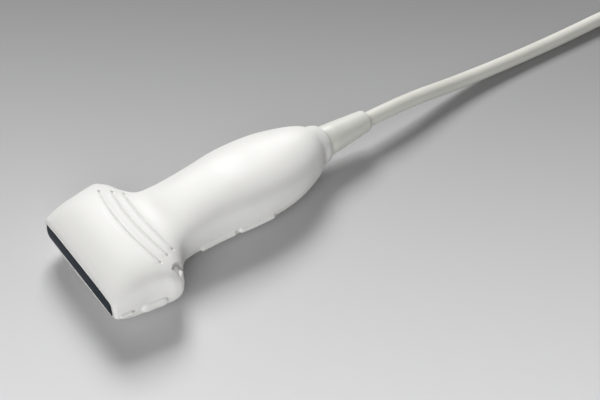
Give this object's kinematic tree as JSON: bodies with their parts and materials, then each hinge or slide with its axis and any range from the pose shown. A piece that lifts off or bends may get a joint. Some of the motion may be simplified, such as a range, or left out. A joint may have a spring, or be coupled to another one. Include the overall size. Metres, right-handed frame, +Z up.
{
  "type": "ultrasound transducer probe",
  "caption": "Linear-array ultrasound probe with a wide flat lens, waisted grip, tapered strain relief, round cable and a quarter-turn locking connector.",
  "frame": {"origin": "on the table under the middle of the probe, half-way between the lens's front and the strain relief's tip", "axes": "+X along the probe from the lens to the cable, +Y across the probe, +Z up from the table that the probe lies on"},
  "size_m": [0.5391, 0.0652, 0.0514],
  "materials": {
    "housing": "satin",
    "lens": "smooth matt",
    "relief": "matt",
    "cable": "matt",
    "strap": "woven",
    "carrier": "matt",
    "matching": "matt",
    "ceramic": "fired, silvered",
    "backing": "matt, loaded resin",
    "flex": "film",
    "board": "solder mask",
    "header": "matt",
    "cores": "bundle",
    "ferrule": "plain",
    "anchor": "plain",
    "connector_cover": "fine texture",
    "plated_metal": "plated, satin",
    "insulator": "matt",
    "contact": "gold plated",
    "lock_steel": "turned",
    "knob": "satin",
    "bush": "plain"
  },
  "bodies": {
    "probe": {"acoustic_lens": "lens", "anchor_plate": "anchor", "array_carrier": "carrier", "backing_block": "backing", "cable_hank": "cable", "cable_headers": "header", "cable_lead": "cable", "cable_tail": "cable", "connector_board": "board", "connector_cores": "cores", "connector_crimp": "ferrule", "connector_header": "header", "connector_lower_cover": "connector_cover", "connector_strain_relief": "relief", "connector_upper_cover": "connector_cover", "contact_block": "insulator", "contact_shell": "plated_metal", "contacts": "contact", "core_bundle": "cores", "cover_screws": "lock_steel", "crimp_ferrule": "ferrule", "hank_straps": "strap", "interconnect_board": "board", "lower_flex": "flex", "lower_shell": "housing", "matching_layer": "matching", "piezo_array": "ceramic", "shaft_bush": "bush", "strain_relief": "relief", "upper_flex": "flex", "upper_shell": "housing"},
    "lock": {"lock_shaft": "lock_steel", "lock_knob": "knob", "knob_screw": "lock_steel"}
  },
  "joints": [
    {"name": "lock_turn", "type": "hinge", "parent": "probe", "child": "lock", "pos_m": [0.4357, -0.0047, 0.03], "axis": [0, 0, 1], "range_deg": [0, 90]}
  ]
}
